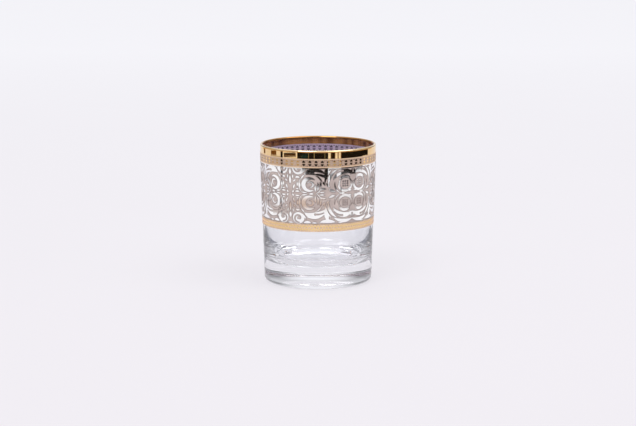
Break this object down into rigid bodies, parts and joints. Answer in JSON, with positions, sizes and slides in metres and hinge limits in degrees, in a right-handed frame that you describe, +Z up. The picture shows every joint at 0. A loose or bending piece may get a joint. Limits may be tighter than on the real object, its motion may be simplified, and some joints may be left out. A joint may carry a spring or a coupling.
{
  "type": "tea glass",
  "caption": "Straight-sided, heavy-based clear glass tumbler with a gilded lip, a band of etched roundels, a platinum band of etched scrollwork and a lower gold band of lozenges.",
  "frame": {"origin": "middle of the foot, on the table that the glass stands on", "axes": "+Z up along the axis of the glass, -Y towards the viewer of the picture"},
  "size_m": [0.08, 0.08, 0.0955],
  "materials": {
    "clear_glass": "polished clear glass",
    "burnished_gold": "burnished gold film, mirror bright",
    "etched_gold": "matte etched gold, satin",
    "burnished_platinum": "burnished platinum film, mirror bright",
    "etched_platinum": "matte etched platinum, warm grey satin"
  },
  "bodies": {
    "root": {"glass_tumbler": "clear_glass", "rim_gold_band": "burnished_gold", "roundel_band_film": "burnished_gold", "roundel_row": "etched_gold", "roundel_band_lines": "etched_gold", "platinum_band_film": "burnished_platinum", "platinum_scrollwork": "etched_platinum", "platinum_leaves": "etched_platinum", "medallion_bosses": "etched_platinum", "lower_band_film": "burnished_gold", "lozenge_row": "etched_gold", "lower_band_lines": "etched_gold"}
  },
  "joints": []
}
